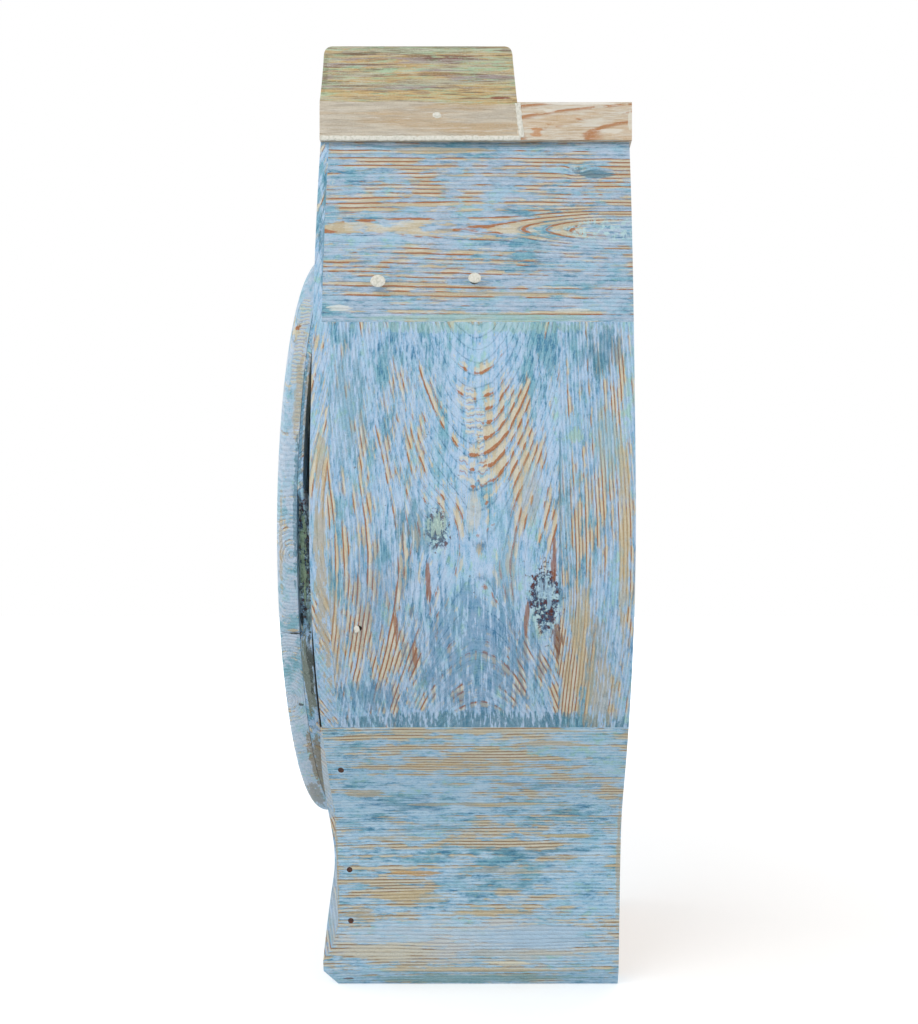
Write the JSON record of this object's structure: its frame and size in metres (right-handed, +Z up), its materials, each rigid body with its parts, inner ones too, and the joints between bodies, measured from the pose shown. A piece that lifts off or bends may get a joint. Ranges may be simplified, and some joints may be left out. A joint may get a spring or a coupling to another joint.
{
  "type": "longcase clock head",
  "caption": "Painted pine head of a longcase clock: bellied case, round glazed door, dial, weight driven going and striking trains.",
  "frame": {"origin": "middle of the bottom of the whole head, on the surface that it stands on", "axes": "+Z up, the dial faces -Y, +X is to the right for someone who faces the dial"},
  "size_m": [0.44, 0.2122, 0.639],
  "materials": {
    "painted_pine": "worn blue distemper over open pine grain",
    "crest_pine": "worn ochre and lilac paint over a limed band",
    "limed_pine": "thin cream wash over bare pine",
    "bare_pine": "old unpainted pine",
    "filler": "white wood filler",
    "glass": "old window glass",
    "putty": "aged linseed putty",
    "dial_tin": "cream painted sheet iron with black numerals",
    "iron": "dark forged iron",
    "brass": "aged brass",
    "hand_brass": "cut and filed brass",
    "bell_bronze": "cast bell metal"
  },
  "bodies": {
    "case": {"lower_side_left": "painted_pine", "lower_side_right": "painted_pine", "middle_side_left": "painted_pine", "middle_side_right": "painted_pine", "upper_side_left": "painted_pine", "upper_side_right": "painted_pine", "front_board_left": "painted_pine", "front_board_right": "painted_pine", "crest_side_left": "crest_pine", "crest_side_right": "crest_pine", "cornice_rear_left": "limed_pine", "cornice_rear_right": "limed_pine", "back_board_left": "bare_pine", "back_board_right": "bare_pine", "neck_apron": "painted_pine", "top_board": "bare_pine", "crest_front": "crest_pine", "crest_back": "bare_pine", "crest_lid": "crest_pine", "seat_board": "bare_pine", "seat_bearers": "bare_pine", "glue_blocks": "bare_pine", "case_nails": "iron", "filler_plugs": "filler", "hinge_case_leaves": "iron", "hinge_pins": "iron", "dial_plate": "dial_tin", "dial_feet": "iron", "movement_front_plate": "brass", "movement_back_plate": "brass", "plate_pillars": "iron", "seat_bolts": "iron", "bell": "bell_bronze", "bell_stand": "iron", "suspension_cock": "iron"},
    "door": {"ring_front_1": "painted_pine", "ring_front_2": "painted_pine", "ring_front_3": "painted_pine", "ring_rear_1": "painted_pine", "ring_rear_2": "painted_pine", "ring_rear_3": "painted_pine", "door_glass": "glass", "glass_putty": "putty", "hinge_door_leaves": "iron"},
    "centre": {"centre_arbor": "brass", "cannon_wheel": "brass", "minute_hand": "hand_brass", "hand_collet": "hand_brass"},
    "hour": {"hour_wheel": "brass", "hour_hand": "hand_brass"},
    "minute": {"minute_wheel": "brass"},
    "going": {"going_drum": "brass"},
    "third": {"third_wheel": "brass"},
    "escape": {"escape_wheel": "brass"},
    "anchor_body": {"anchor": "iron"},
    "pin": {"pin_wheel": "brass"},
    "strike": {"strike_drum": "brass"},
    "warning": {"warning_wheel": "brass"},
    "fly_body": {"fly": "brass"},
    "hammer_body": {"hammer": "iron"}
  },
  "joints": [
    {"name": "door_swing", "type": "hinge", "parent": "case", "child": "door", "pos_m": [-0.21, -0.0869, 0.307], "axis": [0, 0, -1], "range_deg": [0, 110]},
    {"name": "centre_turn", "type": "hinge", "parent": "case", "child": "centre", "pos_m": [0, 0, 0.307], "axis": [0, 1, 0], "continuous": true},
    {"name": "hour_turn", "type": "hinge", "parent": "case", "child": "hour", "pos_m": [0, 0, 0.307], "axis": [0, 1, 0], "continuous": true},
    {"name": "minute_wheel_turn", "type": "hinge", "parent": "case", "child": "minute", "pos_m": [0, 0, 0.283], "axis": [0, 1, 0], "continuous": true},
    {"name": "going_drum_turn", "type": "hinge", "parent": "case", "child": "going", "pos_m": [0.0412, 0, 0.301], "axis": [0, 1, 0], "continuous": true},
    {"name": "third_turn", "type": "hinge", "parent": "case", "child": "third", "pos_m": [-0.00547, 0, 0.33802], "axis": [0, 1, 0], "continuous": true},
    {"name": "escape_turn", "type": "hinge", "parent": "case", "child": "escape", "pos_m": [0, 0, 0.36293], "axis": [0, 1, 0], "continuous": true},
    {"name": "pin_wheel_turn", "type": "hinge", "parent": "case", "child": "pin", "pos_m": [-0.03418, 0, 0.33712], "axis": [0, 1, 0], "continuous": true},
    {"name": "strike_drum_turn", "type": "hinge", "parent": "case", "child": "strike", "pos_m": [-0.0412, 0, 0.301], "axis": [0, 1, 0], "continuous": true},
    {"name": "warning_turn", "type": "hinge", "parent": "case", "child": "warning", "pos_m": [-0.04321, 0, 0.36193], "axis": [0, 1, 0], "continuous": true},
    {"name": "fly_turn", "type": "hinge", "parent": "case", "child": "fly_body", "pos_m": [-0.03421, 0, 0.37752], "axis": [0, 1, 0], "continuous": true},
    {"name": "anchor_swing", "type": "hinge", "parent": "case", "child": "anchor_body", "pos_m": [0, 0, 0.38833], "axis": [0, 1, 0], "range_deg": [-3, 3]},
    {"name": "hammer_lift", "type": "hinge", "parent": "case", "child": "hammer_body", "pos_m": [-0.066, 0.0009, 0.347], "axis": [0, -1, 0], "range_deg": [0, 8]}
  ],
  "couplings": [
    {"joint": "hour_turn", "follows": "centre_turn", "ratio": 0.083333},
    {"joint": "minute_wheel_turn", "follows": "centre_turn", "ratio": -0.75},
    {"joint": "going_drum_turn", "follows": "centre_turn", "ratio": -0.083333},
    {"joint": "third_turn", "follows": "centre_turn", "ratio": -8},
    {"joint": "escape_turn", "follows": "centre_turn", "ratio": 60},
    {"joint": "strike_drum_turn", "follows": "pin_wheel_turn", "ratio": -0.095238},
    {"joint": "warning_turn", "follows": "pin_wheel_turn", "ratio": -10},
    {"joint": "fly_turn", "follows": "pin_wheel_turn", "ratio": 80}
  ]
}
